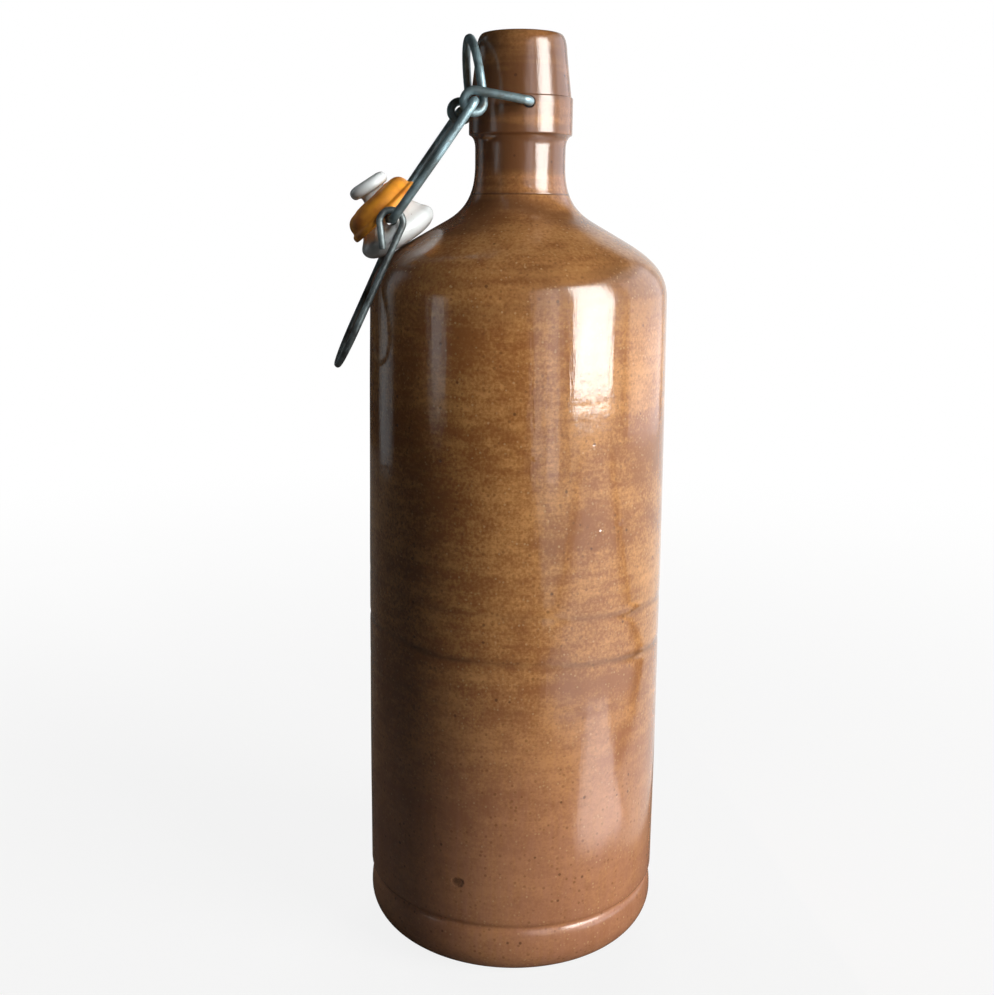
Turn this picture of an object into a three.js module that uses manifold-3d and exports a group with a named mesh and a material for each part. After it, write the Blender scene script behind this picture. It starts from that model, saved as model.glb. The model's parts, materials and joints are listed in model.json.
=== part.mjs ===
// Swing-top stoneware bottle: a thrown, salt-glazed bottle with a wire closure.
// Millimetres, +Z up, origin at the middle of the base. The pivots of the closure lie along Y,
// and the open closure hangs on the -X side with its stopper lying on the shoulder.
import * as THREE from "three";
import { mergeVertices } from "three/addons/utils/BufferGeometryUtils.js";
import Module from "manifold-3d";

// Bottle: heights from the base, drops from the lip
const HEIGHT = 280;
const BODY_RADIUS = 46.5;
const SHOULDER_RADIUS = 45;
const SHOULDER_DROP = 76;
const SHOULDER_ROUND = 13.8; // how far the round of the shoulder reaches in from the body
const SHOULDER_RISE = 17.4; // and how far it climbs
const SHOULDER_SLOPE = 29.5; // degrees above level, between the two rounds
const NECK_RADIUS = 13.4;
const NECK_DROP = 37; // where the sweep up from the shoulder ends
const NECK_SWEEP_RADIUS = 22; // where the sweep starts on the slope
const NECK_SWEEP_RUN = 6.9; // how far the slope carries on into the sweep
const COLLAR_RADIUS = 15.3;
const COLLAR_TOP_DROP = 18;
const COLLAR_FOOT_DROP = 28.4;
const COLLAR_CHAMFER = 4;
const COLLAR_STEP = 0.5; // the turned line above the collar
const LIP_RADIUS = 13.3;
const LIP_ROUND = 4.6;
const LIP_CREST = 2.2; // lip's top to the edge of its outer round
const BORE_RADIUS = 9;
const WALL = 5.5;
const FLOOR = 8;
const FLOOR_ROUND = 4; // inside, between floor and wall
const HEEL_ROUND = 12; // how far the roll of the foot curves in below the groove
const GROOVE_HEIGHT = 17.6;
const GROOVE_DEPTH = 1.2;
const GROOVE_WIDTH = 3.4;
const BOTTLE_SIDES = 48;
const HOLE_SIDES = 16;

// Wires
const WIRE = 2.5; // diameter of lever and bail
const LOOP_WIRE = 2; // diameter of the pull loop
const WIRE_SIDES = 8;
const BEND = 2.4; // length of wire that a corner takes up on each side
const BEND_STEPS = 5;
const TURN_STEPS = 16;
const SIDE_GAP = 0.3; // between wires that lie side by side

// Lever: pivots in two blind holes in the collar
const PIVOT_DROP = 20.1;
const PIN_DEPTH = 4;
const HOLE_CLEARANCE = 0.5;
const ARM = 16.1; // pivot to the eye that carries the bail
const EYE_CLEARANCE = 0.45;
const ARCH_WIDTH = 31; // between the middles of its legs
const ARCH_LEG = 3.2;
const ARCH_ANGLE = 84; // degrees between arm and arch
const ARCH_GAP = 1.4; // arch to neck, lever thrown right up

// Bail: from the lever's eyes to the cross-hole of the stopper
const BAIL = 39.8;
const BAIL_WIDE = 20; // length that stays wide enough to pass the lever

// Porcelain stopper, measured from its cross-hole
const HEAD_RADIUS = 12.2;
const HEAD_REACH = 8.4;
const HEAD_ROUND = 4.4;
const HEAD_WAIST = 10.2;
const CONE_REACH = 4;
const CONE_RADIUS = 6.4;
const STEM_RADIUS = 3.7;
const TIP_REACH = 13.2;
const TIP_RADIUS = 6.1;
const TIP_THICKNESS = 3.6;
const CROSS_HOLE_CLEARANCE = 0.5;
const STOPPER_SIDES = 32;
const STOPPER_LEAN = 33; // degrees from upright, lying on the shoulder
const REST_GAP = 0.3; // stopper and pull loop to the shoulder

// Rubber washer, sitting askew on the stem
const WASHER_RADIUS = 12.25;
const WASHER_LIP = 2.6;
const WASHER_DOME_RADIUS = 10.6;
const WASHER_TOP_RADIUS = 6.6;
const WASHER_LEAN = 11; // degrees from the stopper's axis
const WASHER_CLEARANCE = 0.4;

// Pull loop: a wire staple hung by an eye on each end of the crossbar
const LOOP = 45;
const LOOP_EYE_CLEARANCE = 1.1;
const LOOP_HANG_GAP = 0.3;
const LOOP_TAIL = 7.4; // end of the wire, from its eye back to the leg
const LOOP_TAIL_GAP = 0.4;

const wasm = await Module();
wasm.setup();

const rad = THREE.MathUtils.degToRad;
const v2 = (x, y) => new THREE.Vector2(x, y);
const v3 = (x, y, z) => new THREE.Vector3(x, y, z);

// A closed mesh as a solid for cutting, and back
function solid(geometry) {
  const bare = geometry.clone();
  bare.deleteAttribute("normal");
  bare.deleteAttribute("uv");
  const merged = mergeVertices(bare, 1e-4);
  return new wasm.Manifold(
    new wasm.Mesh({
      numProp: 3,
      vertProperties: new Float32Array(merged.attributes.position.array),
      triVerts: new Uint32Array(merged.index.array),
    }),
  );
}

function cut(geometry, ...tools) {
  const mesh = tools.reduce((left, tool) => left.subtract(solid(tool)), solid(geometry)).getMesh();
  const made = new THREE.BufferGeometry();
  made.setAttribute("position", new THREE.BufferAttribute(mesh.vertProperties, 3));
  made.setIndex(new THREE.BufferAttribute(mesh.triVerts, 1));
  made.computeVertexNormals();
  return made;
}

// A profile of (radius, height) points turned about Z
function turned(profile, sides) {
  const distinct = profile.filter((p, i) => i === 0 || p.distanceTo(profile[i - 1]) > 1e-3);
  return new THREE.LatheGeometry(distinct, sides).rotateX(Math.PI / 2);
}

// A round bar along Y between two values of y
function crossBar(radius, from, to, z) {
  return new THREE.CylinderGeometry(radius, radius, to - from, HOLE_SIDES).translate(0, (from + to) / 2, z);
}

// Bottle: outer outline from the base to the lip
const pivotHeight = HEIGHT - PIVOT_DROP;
const collarTop = HEIGHT - COLLAR_TOP_DROP;
const collarFoot = HEIGHT - COLLAR_FOOT_DROP;

function footOutline() {
  const rollTop = GROOVE_HEIGHT - GROOVE_WIDTH / 2;
  const path = new THREE.Path();
  path.moveTo(0, 0);
  path.lineTo(BODY_RADIUS - HEEL_ROUND, 0);
  path.absellipse(BODY_RADIUS - HEEL_ROUND, rollTop, HEEL_ROUND, rollTop, -Math.PI / 2, 0);
  path.quadraticCurveTo(
    BODY_RADIUS - 2 * GROOVE_DEPTH, GROOVE_HEIGHT,
    BODY_RADIUS, GROOVE_HEIGHT + GROOVE_WIDTH / 2,
  );
  return path.getPoints(4);
}

function sideOutline() {
  const start = v2(SHOULDER_RADIUS, HEIGHT - SHOULDER_DROP);
  const slope = v2(-Math.cos(rad(SHOULDER_SLOPE)), Math.sin(rad(SHOULDER_SLOPE)));
  const roundEnd = v2(SHOULDER_RADIUS - SHOULDER_ROUND, start.y + SHOULDER_RISE);
  const slopeRun = (roundEnd.x - NECK_SWEEP_RADIUS) / -slope.x;
  const sweepStart = roundEnd.clone().addScaledVector(slope, slopeRun);
  const sweepEnd = v2(NECK_RADIUS, HEIGHT - NECK_DROP);
  const body = v2(BODY_RADIUS, GROOVE_HEIGHT + GROOVE_WIDTH / 2);
  const barrel = v2(BODY_RADIUS, (body.y + start.y) / 2);
  const roundHandle = roundEnd.clone().addScaledVector(slope, -SHOULDER_RISE / 2);
  const sweepHandle = sweepStart.clone().addScaledVector(slope, NECK_SWEEP_RUN);
  const path = new THREE.Path();
  path.moveTo(body.x, body.y);
  path.quadraticCurveTo(barrel.x, barrel.y, start.x, start.y);
  path.bezierCurveTo(
    start.x, start.y + SHOULDER_RISE / 2,
    roundHandle.x, roundHandle.y,
    roundEnd.x, roundEnd.y,
  );
  path.lineTo(sweepStart.x, sweepStart.y);
  path.bezierCurveTo(
    sweepHandle.x, sweepHandle.y,
    sweepEnd.x, (sweepStart.y + sweepEnd.y) / 2,
    sweepEnd.x, sweepEnd.y,
  );
  path.lineTo(NECK_RADIUS, collarFoot - COLLAR_CHAMFER);
  return path.getPoints(7);
}

function collarOutline() {
  const lipEdge = HEIGHT - LIP_ROUND;
  const crest = LIP_RADIUS - LIP_CREST;
  const path = new THREE.Path();
  path.moveTo(NECK_RADIUS, collarFoot - COLLAR_CHAMFER);
  path.quadraticCurveTo(NECK_RADIUS, collarFoot - COLLAR_CHAMFER / 3, COLLAR_RADIUS, collarFoot);
  path.lineTo(COLLAR_RADIUS, collarTop);
  path.lineTo(COLLAR_RADIUS - COLLAR_STEP, collarTop + COLLAR_STEP);
  path.lineTo(LIP_RADIUS, lipEdge);
  path.quadraticCurveTo(LIP_RADIUS, HEIGHT, crest, HEIGHT);
  path.quadraticCurveTo(BORE_RADIUS, HEIGHT, BORE_RADIUS, HEIGHT - (crest - BORE_RADIUS));
  return path.getPoints(4);
}

// The inside follows the outside one wall further in, and is never narrower than the bore
function insideOutline(side) {
  const inner = side.map((point, i) => {
    const before = side[Math.max(i - 1, 0)];
    const after = side[Math.min(i + 1, side.length - 1)];
    const along = after.clone().sub(before).normalize();
    return v2(Math.max(point.x - along.y * WALL, BORE_RADIUS), point.y + along.x * WALL);
  });
  const wallFoot = inner[0].x;
  const corner = [v2(wallFoot - FLOOR_ROUND, FLOOR), v2(wallFoot, FLOOR + FLOOR_ROUND)];
  return [v2(0, FLOOR), ...corner, ...inner.slice(1)];
}

const side = sideOutline();
const outside = [...footOutline(), ...side, ...collarOutline()];

function stonewareBottle() {
  const pinEnd = COLLAR_RADIUS - PIN_DEPTH - SIDE_GAP;
  const past = COLLAR_RADIUS + WALL;
  const holeRadius = WIRE / 2 + HOLE_CLEARANCE;
  return cut(
    turned([...outside, ...insideOutline(side).reverse()], BOTTLE_SIDES),
    crossBar(holeRadius, -past, -pinEnd, pivotHeight),
    crossBar(holeRadius, pinEnd, past, pivotHeight),
  );
}

// Wires: a route is a list of curves, each taken in its own number of steps
class Route extends THREE.Curve {
  constructor(runs) {
    super();
    this.runs = runs;
    this.steps = runs.reduce((sum, run) => sum + run.steps, 0);
  }
  getPoint(t, target = new THREE.Vector3()) {
    let at = t * this.steps;
    let i = 0;
    while (i < this.runs.length - 1 && at > this.runs[i].steps) at -= this.runs[i++].steps;
    const { curve, steps } = this.runs[i];
    return target.copy(curve.getPoint(Math.min(at / steps, 1)));
  }
  getUtoTmapping(u) {
    return u;
  }
}

// Part of a turn about Y, or of a helix along it; angles in degrees from +X towards +Z
class Turn extends THREE.Curve {
  constructor(centre, radius, from, to, yFrom, yTo) {
    super();
    Object.assign(this, { centre, radius, from, to, yFrom, yTo });
  }
  getPoint(t, target = new THREE.Vector3()) {
    const angle = rad(THREE.MathUtils.lerp(this.from, this.to, t));
    const y = THREE.MathUtils.lerp(this.yFrom, this.yTo, t);
    return target.set(Math.cos(angle) * this.radius, y, Math.sin(angle) * this.radius).add(this.centre);
  }
}

// Half a circle across the XZ plane, from y = -radius to y = radius, that bulges along a direction
class Arch extends THREE.Curve {
  constructor(foot, direction, radius) {
    super();
    Object.assign(this, { foot, direction, radius });
  }
  getPoint(t, target = new THREE.Vector3()) {
    const angle = Math.PI * t;
    target.copy(this.foot).addScaledVector(this.direction, this.radius * Math.sin(angle));
    return target.setY(-this.radius * Math.cos(angle));
  }
}

// The same curve on the other side of the XZ plane, taken backwards
class Mirrored extends THREE.Curve {
  constructor(curve) {
    super();
    this.curve = curve;
  }
  getPoint(t, target = new THREE.Vector3()) {
    target.copy(this.curve.getPoint(1 - t));
    return target.setY(-target.y);
  }
}

const straight = (from, to) => ({ curve: new THREE.LineCurve3(from, to), steps: 1 });
const otherSide = ({ curve, steps }) => ({ curve: new Mirrored(curve), steps });
const mirrored = (runs) => runs.map(otherSide).reverse();

// Straight runs through the corners, each corner rounded by a bend
function bent(corners) {
  const runs = [];
  let from = corners[0];
  for (let i = 1; i < corners.length - 1; i++) {
    const corner = corners[i];
    const into = corner.clone().add(corners[i - 1].clone().sub(corner).setLength(BEND));
    const out = corner.clone().add(corners[i + 1].clone().sub(corner).setLength(BEND));
    runs.push(straight(from, into));
    runs.push({ curve: new THREE.QuadraticBezierCurve3(into, corner, out), steps: BEND_STEPS });
    from = out;
  }
  runs.push(straight(from, corners.at(-1)));
  return runs;
}

function wire(runs, diameter) {
  const route = new Route(runs);
  const round = Array.from({ length: WIRE_SIDES }, (_, i) => {
    const angle = (2 * Math.PI * i) / WIRE_SIDES;
    return v2(Math.cos(angle), Math.sin(angle)).multiplyScalar(diameter / 2);
  });
  return new THREE.ExtrudeGeometry(new THREE.Shape(round), {
    steps: route.steps,
    extrudePath: route,
    bevelEnabled: false,
  });
}

// Lever, with its pivot at the origin and its arm along -X
const archHalf = ARCH_WIDTH / 2;
const armSide = archHalf + WIRE + SIDE_GAP;
const archHeading = 180 - ARCH_ANGLE;
const archDirection = v3(Math.cos(rad(archHeading)), 0, Math.sin(rad(archHeading)));
const eyeRadius = WIRE + EYE_CLEARANCE;
const eyeEnd = 360 + archHeading - 90;
const archFoot = v3(-ARM, 0, 0)
  .add(v3(Math.cos(rad(eyeEnd)), 0, Math.sin(rad(eyeEnd))).multiplyScalar(eyeRadius))
  .addScaledVector(archDirection, ARCH_LEG);
const archTop = archFoot.clone().addScaledVector(archDirection, archHalf);

function leverWire() {
  const eye = v3(-ARM, 0, 0);
  const eyeStart = 90 - THREE.MathUtils.radToDeg(Math.asin(eyeRadius / ARM));
  const turn = new Turn(eye, eyeRadius, eyeStart, eyeEnd, -armSide, -archHalf);
  const pinEnd = v3(0, -(COLLAR_RADIUS - PIN_DEPTH), 0);
  const legEnd = archFoot.clone().setY(-archHalf);
  const half = [
    ...bent([pinEnd, v3(0, -armSide, 0), turn.getPoint(0)]),
    { curve: turn, steps: TURN_STEPS },
    straight(turn.getPoint(1), legEnd),
  ];
  const arch = { curve: new Arch(archFoot, archDirection, archHalf), steps: TURN_STEPS };
  return wire([...half, arch, ...mirrored(half)], WIRE);
}

// Bail, with the lever's eyes at the origin and its legs along -X
const loopSide = WASHER_RADIUS + WASHER_CLEARANCE + LOOP_WIRE / 2;
const bailSide = loopSide + LOOP_WIRE / 2 + WIRE / 2 + 2 * SIDE_GAP;
const bailWideSide = armSide + WIRE + SIDE_GAP;

function bailWire() {
  const corners = [
    v3(0, -(archHalf - WIRE / 2), 0),
    v3(0, -bailWideSide, 0),
    v3(-BAIL_WIDE, -bailWideSide, 0),
    v3(-BAIL, -bailSide, 0),
  ];
  const across = corners.map(({ x, y, z }) => v3(x, -y, z)).reverse();
  return wire(bent([...corners, ...across]), WIRE);
}

// Stopper, with its cross-hole at the origin and its tip along +Z
function headOutline() {
  const path = new THREE.Path();
  path.moveTo(0, -HEAD_REACH);
  path.lineTo(HEAD_RADIUS - 2 * HEAD_ROUND, -HEAD_REACH);
  path.bezierCurveTo(
    HEAD_RADIUS - HEAD_ROUND / 2, -HEAD_REACH,
    HEAD_RADIUS, HEAD_ROUND / 2 - HEAD_REACH,
    HEAD_RADIUS, HEAD_ROUND - HEAD_REACH,
  );
  path.lineTo(HEAD_WAIST, -WIRE / 2);
  path.lineTo(CONE_RADIUS, CONE_REACH);
  return path.getPoints(6);
}

function tipOutline() {
  const seat = TIP_REACH - TIP_THICKNESS;
  const round = TIP_THICKNESS / 3;
  const path = new THREE.Path();
  path.moveTo(STEM_RADIUS, CONE_REACH + CONE_RADIUS - STEM_RADIUS);
  path.lineTo(STEM_RADIUS, seat);
  path.lineTo(TIP_RADIUS - round, seat);
  path.absarc(TIP_RADIUS - round, seat + round, round, -Math.PI / 2, 0);
  path.absarc(TIP_RADIUS - round, TIP_REACH - round, round, 0, Math.PI / 2);
  path.lineTo(0, TIP_REACH);
  return path.getPoints(3);
}

const head = headOutline();

function porcelainStopper() {
  const holeRadius = WIRE / 2 + CROSS_HOLE_CLEARANCE;
  const body = turned([...head, ...tipOutline()], STOPPER_SIDES);
  return cut(body, crossBar(holeRadius, -2 * HEAD_RADIUS, 2 * HEAD_RADIUS, 0));
}

// Washer, with the middle of its open side at the origin: a bell that leans between cone and tip
const washerSeat = WIRE / 2 + WASHER_CLEARANCE;
const leanRise = Math.sin(rad(WASHER_LEAN));
const leanRun = Math.cos(rad(WASHER_LEAN));
const washerRoom = TIP_REACH - TIP_THICKNESS - WASHER_CLEARANCE - washerSeat;
const washerLength = (washerRoom - WASHER_TOP_RADIUS * leanRise) / leanRun;

function rubberWasher() {
  const boreRadius = (STEM_RADIUS + WASHER_CLEARANCE + washerLength * leanRise) / leanRun;
  const hollowEdge = WASHER_RADIUS - WASHER_LIP / 4;
  const hollowRadius = CONE_RADIUS + WASHER_CLEARANCE;
  const hollowTop = (CONE_REACH + WASHER_CLEARANCE - washerSeat + CONE_RADIUS * leanRise) / leanRun;
  const path = new THREE.Path();
  path.moveTo(hollowEdge, 0);
  path.quadraticCurveTo(WASHER_RADIUS, 0, WASHER_RADIUS, WASHER_LIP / 3);
  path.lineTo(WASHER_RADIUS, WASHER_LIP - WASHER_LIP / 3);
  path.quadraticCurveTo(WASHER_RADIUS, WASHER_LIP, WASHER_DOME_RADIUS, WASHER_LIP);
  path.bezierCurveTo(
    WASHER_DOME_RADIUS, (WASHER_LIP + washerLength) / 2,
    (WASHER_DOME_RADIUS + WASHER_TOP_RADIUS) / 2, washerLength,
    WASHER_TOP_RADIUS, washerLength,
  );
  path.lineTo(boreRadius, washerLength);
  path.lineTo(boreRadius, hollowTop);
  path.lineTo(hollowRadius, hollowTop);
  path.lineTo(hollowEdge, 0);
  return turned(path.getPoints(5), STOPPER_SIDES);
}

// Pull loop, with the crossbar at the origin and its legs along -X
const loopEyeRadius = WIRE / 2 + LOOP_EYE_CLEARANCE + LOOP_WIRE / 2;
const loopEye = v3(LOOP_HANG_GAP - LOOP_EYE_CLEARANCE, 0, 0);
const loopSpread = Math.asin(loopEyeRadius / (LOOP - loopEye.x));
const loopDirection = v3(-Math.cos(loopSpread), 0, Math.sin(loopSpread));
const loopLegStart = loopEye
  .clone()
  .add(v3(-Math.sin(loopSpread), 0, -Math.cos(loopSpread)).multiplyScalar(loopEyeRadius));
const loopLegEnd = loopLegStart.clone().addScaledVector(loopDirection, LOOP - loopSide);

function pullLoopWire() {
  const tailSpace = LOOP_WIRE + LOOP_TAIL_GAP;
  const reach = Math.hypot(LOOP_TAIL, loopEyeRadius);
  const closing = Math.atan2(loopEyeRadius, LOOP_TAIL) + Math.asin((loopEyeRadius - tailSpace) / reach);
  const tailTurn = closing - loopSpread;
  const eyeFrom = 90 + THREE.MathUtils.radToDeg(tailTurn);
  const eyeTo = -90 - THREE.MathUtils.radToDeg(loopSpread);
  const eyeTurn = new Turn(loopEye, loopEyeRadius, eyeFrom, eyeTo, -loopSide, -loopSide);
  const tailDirection = v3(-Math.cos(tailTurn), 0, -Math.sin(tailTurn));
  const tailEnd = eyeTurn.getPoint(0).addScaledVector(tailDirection, LOOP_TAIL);
  const half = [
    straight(tailEnd, eyeTurn.getPoint(0)),
    { curve: eyeTurn, steps: TURN_STEPS },
    straight(eyeTurn.getPoint(1), loopLegEnd.clone().setY(-loopSide)),
  ];
  const bow = { curve: new Arch(loopLegEnd, loopDirection, loopSide), steps: TURN_STEPS };
  return wire([...half, bow, ...mirrored(half)], LOOP_WIRE);
}

// Scene graph: each group turns about the pivot at its own origin
function piece(name, geometry, color, roughness, metalness) {
  const mesh = new THREE.Mesh(geometry, new THREE.MeshStandardMaterial({ color, roughness, metalness }));
  mesh.name = name;
  return mesh;
}

function pivot(parent, x, z) {
  const group = new THREE.Group();
  group.position.set(x, 0, z);
  parent.add(group);
  return group;
}

const bottle = new THREE.Group();
const lever = pivot(bottle, 0, pivotHeight);
const bail = pivot(lever, -ARM, 0);
const stopper = pivot(bail, -BAIL, 0);
const washer = pivot(stopper, 0, washerSeat);
const loop = pivot(bail, -BAIL, 0);

bottle.add(piece("stoneware_bottle", stonewareBottle(), 0x8a5a33, 0.3, 0));
lever.add(piece("lever_wire", leverWire(), 0x5d6a70, 0.45, 0.9));
bail.add(piece("bail_wire", bailWire(), 0x5d6a70, 0.45, 0.9));
stopper.add(piece("porcelain_stopper", porcelainStopper(), 0xe6e9e6, 0.2, 0));
washer.add(piece("rubber_washer", rubberWasher(), 0xe0801a, 0.6, 0));
loop.add(piece("pull_loop_wire", pullLoopWire(), 0x3c4547, 0.5, 0.9));

// Rest pose: each piece is swung until it lies as near the stoneware as its gap allows
const SWING_STEP = rad(0.1);
const SWING_LIMIT = rad(120);
const LEVER_START = rad(-45);
const LEVEL = 0;

function distanceToBottle(point) {
  const spot = v2(Math.hypot(point.x, point.y), point.z);
  let least = Infinity;
  for (let i = 1; i < outside.length; i++) {
    const run = outside[i].clone().sub(outside[i - 1]);
    const toSpot = spot.clone().sub(outside[i - 1]);
    const share = THREE.MathUtils.clamp(toSpot.dot(run) / Math.max(run.lengthSq(), 1e-9), 0, 1);
    least = Math.min(least, toSpot.addScaledVector(run, -share).length());
  }
  return least;
}

function swing(turnTo, start, sense, holder, spots, gap) {
  let angle = start;
  for (let swung = 0; swung < SWING_LIMIT; swung += SWING_STEP) {
    turnTo(angle + sense * SWING_STEP);
    holder.updateWorldMatrix(true, false);
    const near = spots.map((spot) => distanceToBottle(spot.clone().applyMatrix4(holder.matrixWorld)));
    if (Math.min(...near) < gap) break;
    angle += sense * SWING_STEP;
  }
  turnTo(angle);
}

const CLOCKWISE = 1;
const ANTICLOCKWISE = -1;

function turnLever(angle) {
  lever.rotation.y = angle;
}

function turnBail(angle) {
  bail.rotation.y = angle - lever.rotation.y;
  stopper.rotation.y = -rad(STOPPER_LEAN) - angle;
}

function turnLoop(angle) {
  loop.rotation.y = angle - bail.rotation.y - lever.rotation.y;
}

const headSpots = head.flatMap(({ x, y }) => [v3(x, 0, y), v3(-x, 0, y)]);
const leg = new THREE.LineCurve3(loopLegStart, loopLegEnd);
const legSpots = leg.getPoints(TURN_STEPS).map((spot) => spot.setY(loopSide));
swing(turnLever, LEVER_START, CLOCKWISE, lever, [archTop], WIRE / 2 + ARCH_GAP);
swing(turnBail, LEVEL, ANTICLOCKWISE, stopper, headSpots, REST_GAP);
swing(turnLoop, LEVEL, ANTICLOCKWISE, loop, legSpots, LOOP_WIRE / 2 + REST_GAP);
washer.rotation.y = -rad(WASHER_LEAN);

export default bottle;
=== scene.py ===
import json
import math

import bpy
from mathutils import Matrix, Vector, noise
from mathutils.geometry import interpolate_bezier


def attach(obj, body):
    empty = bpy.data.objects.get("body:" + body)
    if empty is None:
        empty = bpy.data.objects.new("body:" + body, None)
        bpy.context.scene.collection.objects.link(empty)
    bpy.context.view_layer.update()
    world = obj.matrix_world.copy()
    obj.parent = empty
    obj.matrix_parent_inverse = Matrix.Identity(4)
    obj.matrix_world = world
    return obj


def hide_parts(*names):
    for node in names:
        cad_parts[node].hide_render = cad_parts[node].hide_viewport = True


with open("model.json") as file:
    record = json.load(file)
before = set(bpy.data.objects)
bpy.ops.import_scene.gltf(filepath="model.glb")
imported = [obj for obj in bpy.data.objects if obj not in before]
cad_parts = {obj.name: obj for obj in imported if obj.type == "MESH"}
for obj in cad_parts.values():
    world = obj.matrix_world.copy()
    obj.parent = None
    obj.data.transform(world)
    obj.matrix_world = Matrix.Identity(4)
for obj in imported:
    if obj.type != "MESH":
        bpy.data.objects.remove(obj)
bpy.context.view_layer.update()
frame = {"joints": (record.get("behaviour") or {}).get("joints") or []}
pivots = {joint["name"]: Vector(joint["pos_m"]) for joint in frame["joints"]}
MM = 0.001


# The bottle: one piece of stoneware, thrown on a wheel, cut from it with a wire and salt-glazed brown.
# The collar under its lip is turned to a sharp line and pierced by two blind holes for the closure.
BODY = 46.5
SHOULDER = 45.0
NECK = 13.4
COLLAR = 15.3
LIP = 13.3
BORE = 9.0
HEIGHT = 280.0
FOOT = 34.5
INSIDE = 39.5
FLOOR = 8.0
BOTTLE_SIDES = 192


def drawn(start, *strokes):
    """Half a section, in metres: lines and Bezier curves in millimetres, each from the last one's end."""
    points = [Vector(start)]
    for steps, *knots in strokes:
        ends = [points[-1], *map(Vector, knots)]
        if len(ends) == 2:
            ends = [ends[0], ends[0].lerp(ends[1], 1 / 3), ends[0].lerp(ends[1], 2 / 3), ends[1]]
        points += interpolate_bezier(*ends, steps + 1)[1:]
    return [point * MM for point in points]


def turned(name, section, sides):
    """A piece turned about Z: a point is drawn out along the section, and the line is spun round."""
    bpy.ops.object.select_all(action="DESELECT")
    bpy.ops.mesh.primitive_plane_add(size=MM, location=(section[0].x, 0, section[0].y))
    piece = bpy.context.object
    piece.name = name
    piece.data.name = name
    bpy.ops.object.transform_apply()
    bpy.ops.object.mode_set(mode="EDIT")
    bpy.ops.mesh.select_mode(type="VERT")
    bpy.ops.mesh.select_all(action="SELECT")
    bpy.ops.mesh.merge(type="CENTER")
    for before, after in zip(section, section[1:]):
        step = after - before
        bpy.ops.mesh.extrude_region_move(TRANSFORM_OT_translate={"value": (step.x, 0, step.y)})
    bpy.ops.mesh.select_all(action="SELECT")
    bpy.ops.mesh.spin(steps=sides, angle=2 * math.pi, center=(0, 0, 0), axis=(0, 0, 1))
    bpy.ops.mesh.select_all(action="SELECT")
    bpy.ops.mesh.remove_doubles(threshold=0.002 * MM)
    bpy.ops.mesh.normals_make_consistent(inside=False)
    bpy.ops.object.mode_set(mode="OBJECT")
    return piece


def bored(piece, radius, start, end):
    """Drills a round hole into a piece, from one point to another."""
    along = end - start
    bpy.ops.object.select_all(action="DESELECT")
    bpy.ops.mesh.primitive_cylinder_add(
        vertices=48,
        radius=radius,
        depth=along.length,
        location=(start + end) / 2,
        rotation=along.to_track_quat("Z", "Y").to_euler(),
    )
    drill = bpy.context.object
    bpy.context.view_layer.objects.active = piece
    hole = piece.modifiers.new("hole", "BOOLEAN")
    hole.object = drill
    hole.solver = "EXACT"
    bpy.ops.object.modifier_apply(modifier=hole.name)
    bpy.data.objects.remove(drill)


def smoothed(piece, angle):
    """Shades a piece smooth, apart from the edges sharper than an angle in degrees."""
    bpy.ops.object.select_all(action="DESELECT")
    piece.select_set(True)
    bpy.context.view_layer.objects.active = piece
    bpy.ops.object.shade_smooth_by_angle(angle=math.radians(angle))


def swollen(piece, group, strength, grain=None, stretch=(1, 1, 1)):
    """Moves a vertex group along its normals, evenly or by clouds of a grain, stretched along each axis."""
    swell = piece.modifiers.new("swell", "DISPLACE")
    swell.vertex_group = group
    swell.strength = strength
    swell.mid_level = 0
    if grain:
        bpy.ops.object.empty_add()
        ruler = bpy.context.object
        ruler.scale = stretch
        bpy.context.view_layer.update()
        swell.texture = bpy.data.textures.new("clouds", "CLOUDS")
        swell.texture.noise_scale = grain
        swell.texture_coords = "OBJECT"
        swell.texture_coords_object = ruler
        swell.mid_level = 0.5
    bpy.context.view_layer.objects.active = piece
    bpy.ops.object.modifier_apply(modifier=swell.name)
    if grain:
        bpy.data.objects.remove(ruler)


outside = (
    (8, (FOOT, 0)),
    (16, (41.1, 0), (BODY, 5.0), (BODY, 11.0)),
    (8, (BODY, 14.0), (BODY - 0.4, 16.0), (BODY - 1.2, 17.6)),
    (6, (BODY - 1.2, 18.7), (BODY, 18.8), (BODY, 20.5)),
    (181, (BODY, 80), (46.0, 141.5), (SHOULDER, HEIGHT - 76)),
    (26, (SHOULDER, 212.7), (38.8, 217.1), (31.2, 221.4)),
    (10, (22, 226.6)),
    (20, (16.0, 230.0), (NECK, 234.8), (NECK, 243)),
    (5, (NECK, 247.4)),
    (8, (NECK, 250.2), (14.3, 251.1), (COLLAR - 0.1, 251.5)),
    (3, (COLLAR, 251.6), (COLLAR, 251.8), (COLLAR, 252.2)),
    (10, (COLLAR, 261.6)),
    (4, (COLLAR, 262.0), (15.15, 262.15), (14.8, 262.2)),
    (2, (14.75, 262.6)),
    (13, (13.35, 274.6)),
    (9, (LIP - 0.1, 277.6), (12.6, HEIGHT), (11.1, HEIGHT)),
    (7, (9.8, HEIGHT), (BORE, 279.3), (BORE, 277.7)),
)
inside = (
    (10, (BORE, 236)),
    (10, (BORE, 229), (13, 225.4), (19.3, 221.8)),
    (5, (28.5, 216.6)),
    (10, (35, 213), (INSIDE, 209), (INSIDE, 203)),
    (12, (40.5, 140), (41, 80), (41, 16)),
    (6, (41, 10.5), (39.5, FLOOR), (36.5, FLOOR)),
    (6, (0, FLOOR)),
)
bottle = turned("bottle", drawn((0, 0), *outside, *inside), BOTTLE_SIDES)

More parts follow.
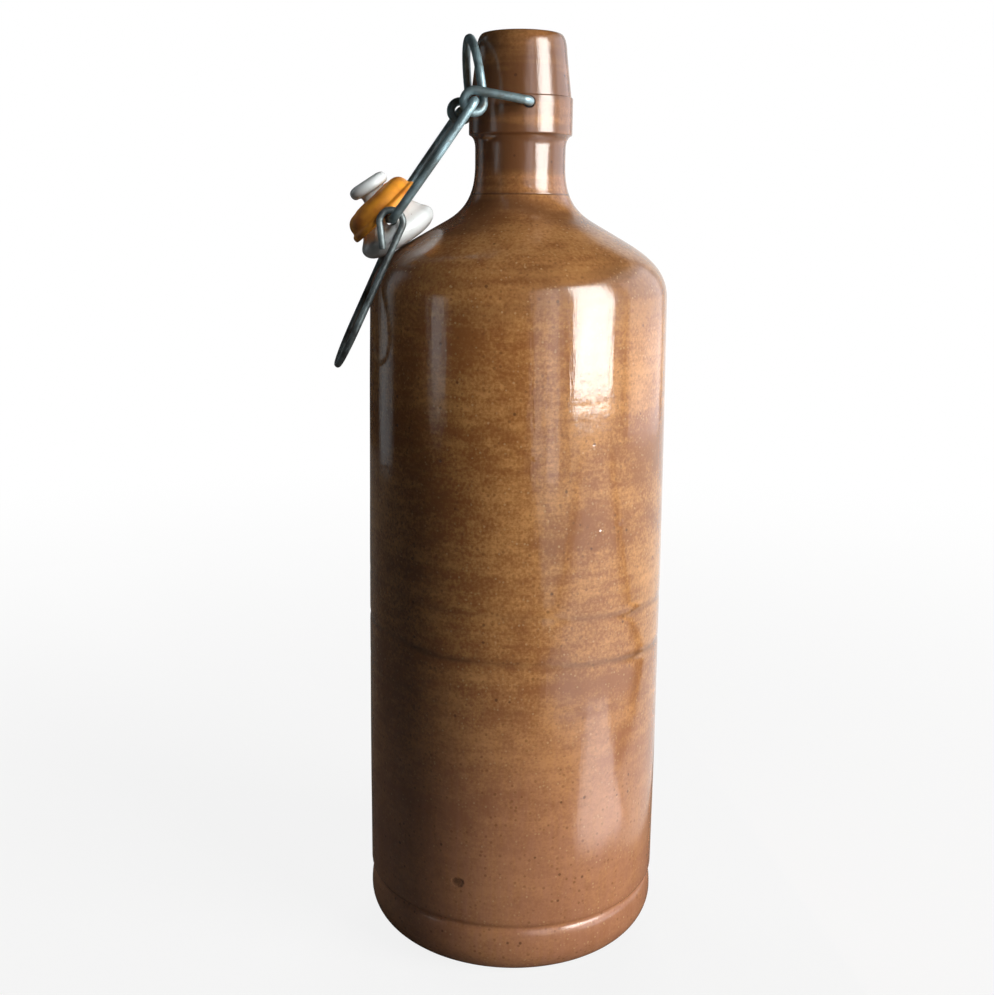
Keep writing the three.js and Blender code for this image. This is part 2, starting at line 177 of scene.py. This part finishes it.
# The hands that pulled up the clay left it a little uneven, with a spiral of shallow finger marks low down.
SPIRAL_PITCH = 14.4 * MM
SPIRAL_HEIGHT = 98 * MM
SPIRAL_REACH = 13 * MM
SPIRAL_WIDTH = 1.0 * MM
SPIRAL_MIDDLE = 105 * MM
skin = bottle.vertex_groups.new(name="skin")
spiral = bottle.vertex_groups.new(name="spiral")
depths = [0.0] * len(bottle.data.vertices)
for vertex in bottle.data.vertices:
    x, y, z = vertex.co
    outward = (vertex.normal.x * x + vertex.normal.y * y) / max(math.hypot(x, y), MM)
    if outward < 0.1:
        continue
    skin.add([vertex.index], min(z / (6 * MM), 1), "REPLACE")
    turns = math.atan2(y, x) / (2 * math.pi)
    wander = noise.noise((x / (14 * MM), y / (14 * MM), z / (40 * MM)))
    rows = (z - SPIRAL_HEIGHT) / SPIRAL_PITCH + turns + 0.06 * wander
    off_line = (rows - round(rows)) * SPIRAL_PITCH / SPIRAL_WIDTH
    fade = math.exp(-(((z - SPIRAL_MIDDLE) / SPIRAL_REACH) ** 2)) * min(max(0.8 + 0.7 * wander, 0), 1)
    depths[vertex.index] = fade * math.exp(-(off_line**2))
    spiral.add([vertex.index], depths[vertex.index], "REPLACE")
marks = bottle.data.attributes.new("finger_marks", "FLOAT", "POINT")
marks.data.foreach_set("value", depths)
swollen(bottle, "spiral", -0.22 * MM)
swollen(bottle, "skin", 0.35 * MM, grain=70 * MM)
swollen(bottle, "skin", 0.03 * MM, grain=40 * MM, stretch=(1, 1, 0.07))

HOLE = 1.75 * MM
HOLE_FLOOR = 11.0 * MM
pivot = pivots["lever_throw"]
for side in (-1, 1):
    mouth = pivot + Vector((0, side * 20 * MM, 0))
    bored(bottle, HOLE, mouth, pivot + Vector((0, side * HOLE_FLOOR, 0)))
smoothed(bottle, 40)


class Shade:
    """A socket of a material's nodes. Arithmetic on it adds Math nodes."""

    def __init__(self, tree, socket=None):
        self.tree = tree
        self.socket = socket

    def add(self, kind, settings=None, inputs=None, output=0):
        """A new node of a kind, with its settings and then the values or links of its inputs."""
        node = self.tree.nodes.new(kind)
        for name, value in (settings or {}).items():
            setattr(node, name, value)
        for name, value in (inputs or {}).items():
            if isinstance(value, Shade):
                self.tree.links.new(value.socket, node.inputs[name])
            else:
                node.inputs[name].default_value = value
        return Shade(self.tree, node.outputs[output] if node.outputs else None)

    def math(self, operation, first, second):
        return self.add("ShaderNodeMath", {"operation": operation}, {0: first, 1: second})

    def __add__(self, other):
        return self.math("ADD", self, other)

    __radd__ = __add__

    def __sub__(self, other):
        return self.math("SUBTRACT", self, other)

    def __rsub__(self, other):
        return self.math("SUBTRACT", other, self)

    def __mul__(self, other):
        return self.math("MULTIPLY", self, other)

    __rmul__ = __mul__

    def step(self, low, high):
        """0 below low, 1 above high, and smooth between them."""
        return self.add(
            "ShaderNodeMapRange",
            {"interpolation_type": "SMOOTHSTEP"},
            {"Value": self, "From Min": low, "From Max": high},
        )

    def mix(self, first, second):
        """A colour between two, by this share."""
        return self.add(
            "ShaderNodeMix",
            {"data_type": "RGBA"},
            {0: self, 6: first, 7: second},
            output=2,
        )

    def noise(self, scale, detail=2.0, roughness=0.5):
        """Clouds over this vector."""
        inputs = {"Vector": self, "Scale": scale, "Detail": detail, "Roughness": roughness}
        return self.add("ShaderNodeTexNoise", inputs=inputs)

    def scaled(self, x, y, z):
        """This vector, stretched along each axis."""
        return self.add("ShaderNodeMapping", inputs={"Vector": self, "Scale": (x, y, z)})

    def axis(self, number):
        """One part of this vector."""
        return self.add("ShaderNodeSeparateXYZ", inputs={"Vector": self}, output=number)


def material(name):
    """A bare material, with its Object coordinates as a Shade."""
    made = bpy.data.materials.new(name)
    made.use_nodes = True
    made.node_tree.nodes.clear()
    coordinates = Shade(made.node_tree).add("ShaderNodeTexCoord", output=3)
    return made, coordinates


def surfaced(made, **inputs):
    """Gives a material its surface, with inputs named as on the Principled shader."""
    start = Shade(made.node_tree)
    named = {name.replace("_", " "): value for name, value in inputs.items()}
    surface = start.add("ShaderNodeBsdfPrincipled", inputs=named)
    start.add("ShaderNodeOutputMaterial", inputs={"Surface": surface})


OCHRE = (0.62, 0.3, 0.1, 1)
RUSSET = (0.3, 0.115, 0.034, 1)
DARK_BROWN = (0.15, 0.062, 0.024, 1)
ROSY_BROWN = (0.47, 0.21, 0.12, 1)
TAN = (0.74, 0.5, 0.23, 1)
IRON = (0.05, 0.022, 0.012, 1)
BARE_CLAY = (0.5, 0.4, 0.3, 1)
NECK_LINE = 234.8

salt_glaze, at = material("salt_glaze")
height = at.axis(2)
clouds = at.scaled(1, 1, 1.6).noise(22, 4, 0.62)
streaks = at.scaled(12, 12, 420).noise(1, 4, 0.65)
mottle = at.scaled(1, 1, 2.0).noise(150, 5, 0.7)
grain = at.noise(1100, 2, 0.6)
drips = at.scaled(560, 560, 80).noise(1, 3, 0.6)
peel = at.noise(420, 2)
line = at.add("ShaderNodeAttribute", {"attribute_name": "finger_marks"}, output=2)


def dots(scale, share, size):
    """Round dots, one in a share of the cells of a scattered grid."""
    cells = {"Vector": at, "Scale": scale}
    near = 1 - at.add("ShaderNodeTexVoronoi", inputs=cells).step(size * 0.5, size)
    chance = at.add("ShaderNodeTexVoronoi", inputs=cells, output=1).axis(0)
    return near * chance.step(1 - share, 1.03 - share)


def bearing(degrees):
    """A level direction, counted from -Y towards +X."""
    return Vector((math.sin(math.radians(degrees)), -math.cos(math.radians(degrees)), 0))


def spot(degrees, level, radius):
    """A round spot on the body at a bearing and a height."""
    middle = bearing(degrees) * BODY * MM + Vector((0, 0, level * MM))
    gap = at.add("ShaderNodeVectorMath", {"operation": "DISTANCE"}, {0: at, 1: middle}, output=1)
    return 1 - gap.step(0, radius * MM)


foot = 1 - height.step(0.03, 0.12)
shoulder = height.step(0.19, 0.216)
neck = height.step(0.222, 0.236)
patches = at.scaled(14, 14, 60).noise(1, 3, 0.6)
tone = (clouds * 0.9 + streaks * 0.3 + mottle * 0.5 + grain * 0.5).step(0.86, 1.28)
colour = tone.mix(OCHRE, RUSSET)
colour = (foot * (0.3 + 0.7 * drips)).mix(colour, ROSY_BROWN)
# Partly painted shade: the shoulder is darkened in patches and the neck in streaks. This stands both for
# the glaze's own darker brown there and for shade over the top of the bottle.
painted_shade_and_dark_glaze = shoulder * (0.25 + 0.6 * patches.step(0.35, 0.6)) + neck * 0.45 * (streaks + patches - 0.5)
colour = painted_shade_and_dark_glaze.mix(colour, DARK_BROWN)
light_dots = dots(900.0, 0.35, 0.4) * mottle.step(0.45, 0.62) * (1 - neck)
colour = (light_dots * 0.4).mix(colour, TAN)
dark_dots = dots(700.0, 0.35, 0.42) * (1 - mottle.step(0.4, 0.58))
colour = (dark_dots * 0.5).mix(colour, DARK_BROWN)
speck = dots(260.0, 0.16, 0.16)
colour = (speck * 0.6).mix(colour, IRON)
colour = (line * 0.85).mix(colour, DARK_BROWN)
chip = (spot(-29, 32, 3.6) * mottle * 2).step(0.35, 0.8)
colour = (chip * (0.2 + grain)).mix(colour, DARK_BROWN)
ring = height - NECK_LINE * MM + 0.0006 * clouds
neck_line = (1 - (ring * ring * 1e6).step(0.01, 0.12)) * 0.6
colour = neck_line.mix(colour, IRON)
cut = 1 - height.step(0.0002, 0.0008)
colour = cut.mix(colour, BARE_CLAY)
blisters = spot(-2.6, 162.5, 1.3) + spot(23.2, 140, 1.3) + spot(33, 142, 1.5)
relief = peel * 2.2e-5 + drips * 6e-5 + streaks * 1.4e-5 + grain * 4e-6 + neck * peel * 3e-5
relief = relief + light_dots * 6e-6 - speck * 2e-5 - neck_line * 1e-4 + blisters * 2e-4 - chip * 2e-4
bump = at.add("ShaderNodeBump", inputs={"Height": relief, "Distance": 1.0})
surfaced(
    salt_glaze,
    Base_Color=colour,
    Roughness=0.05 + foot * 0.08 + shoulder * 0.09 + cut * 0.5 + mottle * 0.1,
    IOR=1.68,
    Normal=bump,
)
bottle.data.materials.append(salt_glaze)
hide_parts("stoneware_bottle")
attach(bottle, "bottle")


# The lever: one galvanised steel wire, bent cold. Its two ends turn in the collar's holes, it is coiled
# into an eye on each side for the bail, and the arch between the eyes is what the thumb pushes.
WIRE = 2.5 * MM
WIRE_SIDES = 24
BEND = 2.4 * MM
ARCH = 15.5 * MM
ARM_SIDE = 18.3 * MM
EYE = 2.95 * MM
ARCH_LEG = 3.2 * MM
ARCH_HEADING = math.radians(96)
PIN_END = 11.3 * MM


class Wire:
    """A round wire, drawn out from its end and bent as it goes."""

    def __init__(self, name, start, heading, diameter):
        self.at = Vector(start)
        self.heading = Vector(heading).normalized()
        bpy.ops.object.select_all(action="DESELECT")
        bpy.ops.mesh.primitive_circle_add(
            vertices=WIRE_SIDES,
            radius=diameter / 2,
            fill_type="NGON",
            location=start,
            rotation=self.heading.to_track_quat("Z", "Y").to_euler(),
        )
        self.piece = bpy.context.object
        self.piece.name = name
        self.piece.data.name = name
        bpy.ops.object.transform_apply()
        bpy.ops.object.mode_set(mode="EDIT")
        bpy.ops.mesh.select_mode(type="FACE")
        bpy.ops.mesh.select_all(action="SELECT")

    def straight(self, length):
        """Goes on for a length."""
        step = self.heading * length
        bpy.ops.mesh.extrude_region_move(TRANSFORM_OT_translate={"value": step})
        self.at += step

    def bend(self, centre, angle, rise=(0, 0, 0)):
        """Bends about a centre by an angle, with a sideways rise over the whole bend."""
        steps = max(2, math.ceil(math.degrees(angle) / 9))
        toward = (Vector(centre) - self.at).normalized()
        axis = self.heading.cross(toward).normalized()
        turn = Matrix.Rotation(angle / steps, 3, axis)
        lift = Vector(rise) / steps
        middle = Vector(centre)
        for _ in range(steps):
            bpy.ops.mesh.spin(steps=1, angle=-angle / steps, center=middle, axis=axis)
            bpy.ops.transform.translate(value=lift)
            self.at = middle + turn @ (self.at - middle) + lift
            self.heading = turn @ self.heading
            middle = middle + lift

    def corner(self, heading):
        """Turns to a new heading by a bend that takes up the same length of each straight."""
        heading = Vector(heading).normalized()
        angle = self.heading.angle(heading)
        across = (heading - self.heading * heading.dot(self.heading)).normalized()
        self.bend(self.at + across * BEND / math.tan(angle / 2), angle)
        self.heading = heading

    def done(self):
        """Rounds the two cut ends and returns the piece."""
        bpy.ops.mesh.select_all(action="DESELECT")
        bpy.ops.mesh.select_face_by_sides(number=WIRE_SIDES)
        bpy.ops.mesh.bevel(offset=0.25 * MM, segments=3)
        bpy.ops.mesh.select_all(action="SELECT")
        bpy.ops.mesh.normals_make_consistent(inside=False)
        bpy.ops.object.mode_set(mode="OBJECT")
        smoothed(self.piece, 50)
        return self.piece


def placed(piece, at, turn):
    """Turns a piece about Y and moves it to its pivot, with its place kept in its mesh."""
    piece.rotation_euler.y = turn
    piece.location = at
    bpy.ops.object.select_all(action="DESELECT")
    piece.select_set(True)
    bpy.context.view_layer.objects.active = piece
    bpy.ops.object.transform_apply()


def ray(angle):
    """A direction in the XZ plane, from +X towards +Z."""
    return Vector((math.cos(angle), 0, math.sin(angle)))


arm = pivots["bail_swing"] - pivots["lever_throw"]
arm_slope = math.asin(EYE / arm.length)
arm_straight = math.sqrt(arm.length**2 - EYE**2)
eye_turn = math.pi + ARCH_HEADING + arm_slope
eye = Vector((-arm.length, 0, 0))

wire = Wire("lever", (0, -PIN_END, 0), (0, -1, 0), WIRE)
wire.straight(ARM_SIDE - BEND - PIN_END)
wire.corner(ray(math.pi - arm_slope))
wire.straight(arm_straight - BEND)
wire.bend(eye + Vector((0, -ARM_SIDE, 0)), eye_turn, rise=(0, ARM_SIDE - ARCH, 0))
wire.straight(ARCH_LEG)
wire.bend(wire.at + Vector((0, ARCH, 0)), math.pi)
wire.straight(ARCH_LEG)
wire.bend(eye + Vector((0, ARCH, 0)), eye_turn, rise=(0, ARM_SIDE - ARCH, 0))
wire.straight(arm_straight - BEND)
wire.corner((0, -1, 0))
wire.straight(ARM_SIDE - BEND - PIN_END)
lever = wire.done()
placed(lever, pivots["lever_throw"], math.atan2(arm.z, -arm.x))

ZINC = (0.28, 0.41, 0.45, 1)
DULL_ZINC = (0.13, 0.17, 0.175, 1)
RUST = (0.1, 0.06, 0.035, 1)

galvanised, at = material("galvanised_wire")
spangle = at.noise(420, 3, 0.6)
worn = at.noise(130, 3).step(0.35, 0.65)
colour = worn.mix(DULL_ZINC, ZINC)
colour = (spangle.step(0.58, 0.75) * 0.6).mix(colour, RUST)
bump = at.add("ShaderNodeBump", inputs={"Height": spangle * 4e-5, "Distance": 1.0})
surfaced(galvanised, Base_Color=colour, Metallic=0.55, Roughness=0.3 + 0.25 * spangle, Normal=bump)
lever.data.materials.append(galvanised)
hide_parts("lever_wire")
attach(lever, "lever")


# The bail: a second length of the same wire, sprung into the lever's eyes from outside.
# It narrows half-way, and its crossbar carries the stopper and the pull loop.
BAIL_SIDE = 16.5 * MM
BAIL_WIDE_SIDE = 21.1 * MM
BAIL_WIDE = 20 * MM
BAIL_END = 14.25 * MM

reach = pivots["stopper_tilt"] - pivots["bail_swing"]
taper = Vector((BAIL_WIDE - reach.length, BAIL_WIDE_SIDE - BAIL_SIDE, 0))
back = Vector((-taper.x, taper.y, 0))

wire = Wire("bail", (0, -BAIL_END, 0), (0, -1, 0), WIRE)
wire.straight(BAIL_WIDE_SIDE - BEND - BAIL_END)
wire.corner((-1, 0, 0))
wire.straight(BAIL_WIDE - 2 * BEND)
wire.corner(taper)
wire.straight(taper.length - 2 * BEND)
wire.corner((0, 1, 0))
wire.straight(2 * (BAIL_SIDE - BEND))
wire.corner(back)
wire.straight(taper.length - 2 * BEND)
wire.corner((1, 0, 0))
wire.straight(BAIL_WIDE - 2 * BEND)
wire.corner((0, -1, 0))
wire.straight(BAIL_WIDE_SIDE - BEND - BAIL_END)
bail = wire.done()
placed(bail, pivots["bail_swing"], math.atan2(reach.z, -reach.x))
bail.data.materials.append(galvanised)
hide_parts("bail_wire")
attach(bail, "bail")


# The stopper: one piece of hard porcelain, pressed and glazed white. A rounded head, a cone that fills the
# mouth, a stem and a button that holds the washer on. The bail's crossbar runs through its cross-hole.
HEAD = 12.2
WAIST = 10.2
CONE = 6.4
STEM = 3.7
TIP = 6.1
TIP_REACH = 13.2
CROSS_HOLE = 1.75 * MM
STOPPER_LEAN = math.radians(-33)
STOPPER_SIDES = 96

section = (
    (6, (3.4, -8.4)),
    (14, (10.0, -8.4), (HEAD, -6.4), (HEAD, -4.2)),
    (6, (HEAD, -3.0), (11.0, -2.2), (WAIST, -1.25)),
    (6, (CONE + 0.6, 3.3)),
    (6, (CONE, 4.1), (STEM, 6.0), (STEM, 7.0)),
    (3, (STEM, 9.0)),
    (3, (STEM, 9.4), (4.0, 9.6), (4.5, 9.6)),
    (8, (5.6, 9.6), (TIP, 10.4), (TIP, 11.3)),
    (8, (TIP, 12.6), (5.2, TIP_REACH - 0.1), (3.6, TIP_REACH)),
    (5, (0, TIP_REACH)),
)
stopper = turned("stopper", drawn((0, -8.4), *section), STOPPER_SIDES)
bored(stopper, CROSS_HOLE, Vector((0, -20 * MM, 0)), Vector((0, 20 * MM, 0)))
smoothed(stopper, 40)
placed(stopper, pivots["stopper_tilt"], STOPPER_LEAN)

WHITE = (0.88, 0.92, 0.92, 1)
GREY_WHITE = (0.74, 0.79, 0.79, 1)
GRIME = (0.2, 0.17, 0.14, 1)

porcelain, at = material("porcelain")
colour = at.noise(140, 2).step(0.4, 0.7).mix(WHITE, GREY_WHITE)
colour = (at.noise(900, 3, 0.7).step(0.66, 0.74) * 0.4).mix(colour, GRIME)
bump = at.add("ShaderNodeBump", inputs={"Height": at.noise(260, 2) * 6e-5, "Distance": 1.0})
surfaced(porcelain, Base_Color=colour, Roughness=0.2, Normal=bump)
stopper.data.materials.append(porcelain)
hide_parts("porcelain_stopper")
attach(stopper, "stopper")


# The washer: a bell of orange rubber, moulded, then stretched over the button so that it sits askew on the
# stem. Its lip is what seals against the bottle's mouth.
LIP_OF_WASHER = 12.25
WASHER_LENGTH = 6.41
WASHER_SEAT = 1.65 * MM
WASHER_TURN = math.radians(-44)

section = (
    (6, (12.1, 0.0), (LIP_OF_WASHER, 0.3), (LIP_OF_WASHER, 0.9)),
    (6, (LIP_OF_WASHER, 1.6), (11.9, 1.9), (11.5, 2.1)),
    (4, (11.25, 2.25), (11.2, 2.5), (11.15, 2.8)),
    (14, (11.0, 5.0), (9.6, WASHER_LENGTH), (7.2, WASHER_LENGTH)),
    (4, (6.5, WASHER_LENGTH), (6.1, 6.7), (5.7, 6.7)),
    (3, (5.5, 6.7), (5.42, 6.5), (5.42, 6.2)),
    (4, (5.42, 4.05)),
    (3, (6.8, 4.05)),
    (8, (11.6, 0.0)),
)
washer = turned("washer", drawn((11.6, 0.0), *section), STOPPER_SIDES)
smoothed(washer, 40)
seat = pivots["stopper_tilt"] + ray(math.pi / 2 - STOPPER_LEAN) * WASHER_SEAT
placed(washer, seat, WASHER_TURN)

ORANGE = (0.9, 0.36, 0.03, 1)
BURNT_ORANGE = (0.62, 0.19, 0.02, 1)

rubber, at = material("orange_rubber")
colour = at.noise(180, 3).step(0.35, 0.7).mix(ORANGE, BURNT_ORANGE)
bump = at.add("ShaderNodeBump", inputs={"Height": at.noise(900, 2) * 2e-5, "Distance": 1.0})
surfaced(rubber, Base_Color=colour, Roughness=0.5, Normal=bump)
washer.data.materials.append(rubber)
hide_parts("rubber_washer")
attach(washer, "stopper")


# The pull loop: a thinner wire, dark with age, bent to a staple with an eye at each end of the crossbar.
# Its tails are turned back along its legs, and it hangs down over the shoulder.
LOOP_WIRE = 2 * MM
LOOP = 45 * MM
LOOP_SIDE = 13.65 * MM
LOOP_EYE = 3.35 * MM
LOOP_DROP = 0.8 * MM
LOOP_TAIL = 7.4 * MM
LOOP_TAIL_SPACE = 2.4 * MM
LOOP_TURN = math.radians(-69.4)

spread = math.asin(LOOP_EYE / (LOOP + LOOP_DROP))
closing = math.asin((LOOP_EYE - LOOP_TAIL_SPACE) / math.hypot(LOOP_TAIL, LOOP_EYE))
tail_turn = math.atan2(LOOP_EYE, LOOP_TAIL) + closing - spread
eye = Vector((-LOOP_DROP, 0, 0))
tail = eye + ray(math.pi / 2 + tail_turn) * LOOP_EYE - ray(tail_turn) * LOOP_TAIL
eye_turn = math.pi + tail_turn + spread
side = Vector((0, LOOP_SIDE, 0))

wire = Wire("pull_loop", tail - side, ray(tail_turn), LOOP_WIRE)
wire.straight(LOOP_TAIL)
wire.bend(eye - side, eye_turn)
wire.straight(LOOP - LOOP_SIDE)
wire.bend(wire.at + side, math.pi)
wire.straight(LOOP - LOOP_SIDE)
wire.bend(eye + side, eye_turn)
wire.straight(LOOP_TAIL)
loop = wire.done()
placed(loop, pivots["pull_loop_swing"], LOOP_TURN)

STEEL = (0.25, 0.31, 0.32, 1)
TARNISH = (0.08, 0.085, 0.083, 1)

dark_wire, at = material("dark_wire")
colour = at.noise(160, 3, 0.6).step(0.35, 0.7).mix(STEEL, TARNISH)
bump = at.add("ShaderNodeBump", inputs={"Height": at.noise(500, 2) * 3e-5, "Distance": 1.0})
surfaced(dark_wire, Base_Color=colour, Metallic=0.5, Roughness=0.42, Normal=bump)
loop.data.materials.append(dark_wire)
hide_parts("pull_loop_wire")
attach(loop, "pull_loop")


# The studio: a white floor in a white room, lit softly from the right and more weakly from behind.
# Dark boards in front, at the left and overhead stand for the unlit part of the room.
FLOOR_SIZE = 12
FILL = 0.06
LAMP_WIDTH = 0.6
LAMP_HEIGHT = 0.8
BOARD_DISTANCE = 0.9
BOARD_SIZE = 1.3
CEILING = 1.3
CARD_SIZE = 6
CARD_PLACE = (-2.9, 0, 0.0004)


def lamp(name, degrees, level, radiance, colour):
    """A soft panel beside the bottle that lights it without showing in its gloss."""
    way = bearing(degrees)
    bpy.ops.object.light_add(type="AREA", location=way + Vector((0, 0, level)))
    panel = bpy.context.object
    panel.name = name
    panel.rotation_euler = (-way).to_track_quat("-Z", "Y").to_euler()
    panel.data.shape = "RECTANGLE"
    panel.data.size = LAMP_WIDTH
    panel.data.size_y = LAMP_HEIGHT
    panel.data.energy = radiance * math.pi * LAMP_WIDTH * LAMP_HEIGHT
    panel.data.color = colour
    panel.visible_glossy = False


def pane(name, place, turn, width, tall, radiance, colour, soft):
    """A glowing sheet with ragged, soft edges that shows only in the gloss."""
    bpy.ops.mesh.primitive_plane_add(size=2, location=place, rotation=turn)
    sheet = bpy.context.object
    sheet.name = name
    sheet.scale = (width / 2, tall / 2, 1)
    made, at = material(name)
    ragged = (at.scaled(8, 30, 1).noise(1, 3, 0.6) - 0.5) * 2 * soft
    across = at.axis(0) * at.axis(0) + ragged
    along = at.axis(1) * at.axis(1) + ragged * 0.5
    share = (1 - across.step(1 - 2 * soft, 1)) * (1 - along.step(1 - soft, 1))
    dapple = 0.5 + at.scaled(1.5, 5, 1).noise(1, 3)
    shine = at.add("ShaderNodeEmission", inputs={"Color": colour, "Strength": share * dapple * radiance})
    at.add("ShaderNodeOutputMaterial", inputs={"Surface": shine})
    sheet.visible_camera = False
    sheet.visible_diffuse = False
    sheet.visible_shadow = False
    sheet.data.materials.append(made)


def upright(degrees, distance, level):
    """The place and turn of a sheet that stands at a bearing and faces the bottle's axis."""
    way = bearing(degrees)
    return way * distance + Vector((0, 0, level)), (-way).to_track_quat("Z", "Y").to_euler()


def lying(degrees, distance, level):
    """The place and turn of a sheet that lies near the floor at a bearing."""
    return bearing(degrees) * distance + Vector((0, 0, level)), (0, 0, math.radians(degrees))


lamp("key", 50, 0.25, 10.4, (1.0, 0.99, 0.97))
lamp("back_window", -150, 0.5, 2.6, (0.9, 0.96, 1.0))
lamp("back_light", 160, 0.5, 3.2, (1.0, 0.97, 0.93))
bpy.ops.object.light_add(type="SPOT", location=bearing(15) * 0.5 + Vector((0, 0, 0.5)))
spotlight = bpy.context.object
spotlight.name = "stopper_light"
beam = pivots["stopper_tilt"] - spotlight.location
spotlight.rotation_euler = beam.to_track_quat("-Z", "Y").to_euler()
spotlight.data.spot_size = math.radians(9)
spotlight.data.spot_blend = 0.7
spotlight.data.shadow_soft_size = 0.06
spotlight.data.energy = 12
spotlight.visible_glossy = False

DAYLIGHT = (1, 1, 0.98, 1)
LILAC = (1, 0.95, 1, 1)
BLUISH = (0.85, 0.95, 1, 1)
pane("window", *upright(48.5, 1.0, 0.47), 0.62, 0.84, 14, DAYLIGHT, 0.14)
pane("curtain", *upright(14, 0.86, 0.3), 0.46, 0.9, 1.5, LILAC, 0.4)
pane("curtain_edge", *upright(17, 0.84, 0.33), 0.2, 0.9, 2.2, LILAC, 0.4)
pane("side_wall", *upright(107, 1.0, 0.4), 1.2, 0.9, 2.0, LILAC, 0.3)
pane("left_window", *upright(-70, 0.85, 0.22), 0.28, 0.36, 1.8, BLUISH, 0.8)
pane("left_glow", *upright(-127, 0.85, 0.3), 0.4, 1.0, 0.45, BLUISH, 0.5)
pane("near_gleam", *lying(54, 0.19, 0.0012), 0.11, 0.16, 2.8, LILAC, 0.3)
pane("far_gleam", *lying(53, 0.62, 0.0008), 0.5, 0.9, 1.4, LILAC, 0.4)

bpy.ops.mesh.primitive_plane_add(size=FLOOR_SIZE)
floor = bpy.context.object
floor.name = "floor"
white_floor, at = material("white_floor")
seen = sum(
    at.add("ShaderNodeLightPath", output=name)
    for name in ("Is Camera Ray", "Is Glossy Ray", "Is Transmission Ray")
)
away = at.add("ShaderNodeVectorMath", {"operation": "LENGTH"}, {0: at}, output=1).step(0.1, 0.8)
paper = at.add("ShaderNodeBsdfDiffuse", inputs={"Color": (0.8, 0.8, 0.8, 1)})
glow = at.add("ShaderNodeEmission", inputs={"Color": (1, 1, 1, 1)})
surface = at.add("ShaderNodeMixShader", inputs={0: seen * (0.86 + away * 0.14), 1: paper, 2: glow})
at.add("ShaderNodeOutputMaterial", inputs={"Surface": surface})
floor.data.materials.append(white_floor)

dark_board, at = material("dark_board")
surfaced(dark_board, Base_Color=(0.02, 0.02, 0.02, 1), Roughness=1.0)
board_level = BOARD_SIZE / 2 - 0.1
boards = [(BOARD_SIZE, *upright(degrees, BOARD_DISTANCE, board_level)) for degrees in (-155, -85, -15)]
boards.append((2 * CEILING, *lying(0, 0, CEILING)))
for size, place, turn in boards:
    bpy.ops.mesh.primitive_plane_add(size=size, location=place, rotation=turn)
    board = bpy.context.object
    board.name = "dark_board"
    board.visible_camera = False
    board.visible_shadow = False
    board.data.materials.append(dark_board)

grey_card, at = material("grey_card")
surfaced(grey_card, Base_Color=(0.12, 0.11, 0.1, 1), Roughness=1.0)
bpy.ops.mesh.primitive_plane_add(size=CARD_SIZE, location=CARD_PLACE)
card = bpy.context.object
card.name = "dark_card"
card.visible_camera = False
card.visible_shadow = False
card.data.materials.append(grey_card)

scene = bpy.context.scene
world = bpy.data.worlds.new("white_room")
world.use_nodes = True
world.node_tree.nodes.clear()
start = Shade(world.node_tree)
seen = sum(
    start.add("ShaderNodeLightPath", output=name)
    for name in ("Is Camera Ray", "Is Glossy Ray", "Is Transmission Ray")
)
strength = seen.step(0.0, 1.0) * (1 - FILL) + FILL
sky = start.add("ShaderNodeBackground", inputs={"Color": (1, 1, 1, 1), "Strength": strength})
start.add("ShaderNodeOutputWorld", inputs={"Surface": sky})
scene.world = world

# The camera stands a little above the shoulder, close by, and looks slightly down.
bpy.ops.object.camera_add(location=(-60.7 * MM, -383.2 * MM, 228 * MM))
camera = bpy.context.object
camera.name = "camera"
aim = (
    Matrix.Rotation(math.radians(-8.13), 3, "Z")
    @ Matrix.Rotation(math.radians(77.4), 3, "X")
    @ Matrix.Rotation(math.radians(0.6), 3, "Z")
)
camera.rotation_euler = aim.to_euler()
camera.data.lens = 45.5
camera.data.sensor_width = 36
camera.data.clip_start = 0.01
scene.camera = camera
scene.view_settings.view_transform = "Standard"
